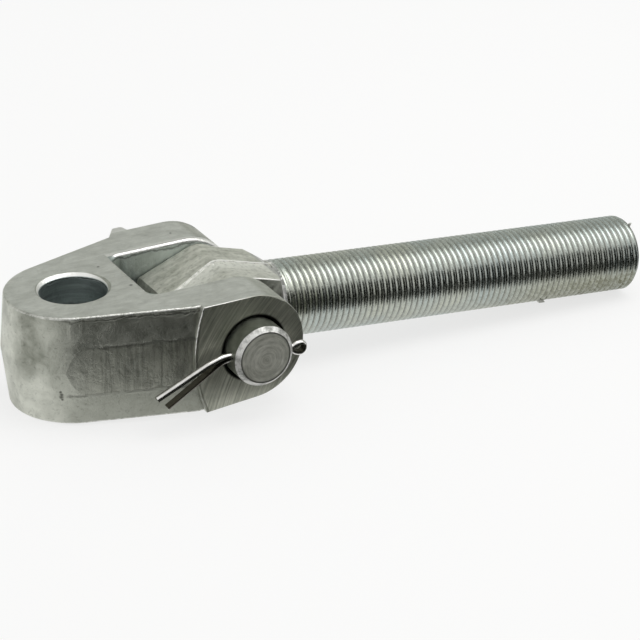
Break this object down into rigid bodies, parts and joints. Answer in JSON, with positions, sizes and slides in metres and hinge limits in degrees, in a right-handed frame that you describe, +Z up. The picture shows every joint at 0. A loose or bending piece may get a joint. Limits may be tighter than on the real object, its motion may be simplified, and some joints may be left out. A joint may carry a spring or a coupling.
{
  "type": "clevis rod end",
  "caption": "Zinc-plated clevis rod end: forged fork with an eye bore, a clevis pin held by a split pin, and a threaded eye rod that swings on the pin.",
  "frame": {"origin": "the centre of the fork's eye bore, at mid height in the forging's parting plane", "axes": "+Z up along the eye bore, +X from the eye towards the threaded rod, and the clevis pin along Y"},
  "size_m": [0.3214, 0.1108, 0.064],
  "materials": {
    "plated_forging": "zinc-plated forging with milled cheeks",
    "plated_rod": "zinc-plated forging with a bright rolled thread",
    "plated_pin": "zinc-plated turned steel",
    "bright_wire": "bright half-round steel wire"
  },
  "bodies": {
    "fork": {"knuckle": "plated_forging"},
    "rod": {"eye_rod": "plated_rod"},
    "pin": {"clevis_pin": "plated_pin", "split_pin": "bright_wire"}
  },
  "joints": [
    {"name": "rod_swing", "type": "hinge", "parent": "fork", "child": "rod", "pos_m": [0.0642, 0, 0.0009], "axis": [0, -1, 0], "range_deg": [-114, 125]},
    {"name": "pin_turn", "type": "hinge", "parent": "fork", "child": "pin", "pos_m": [0.0642, 0, 0.0009], "axis": [0, -1, 0], "continuous": true}
  ]
}
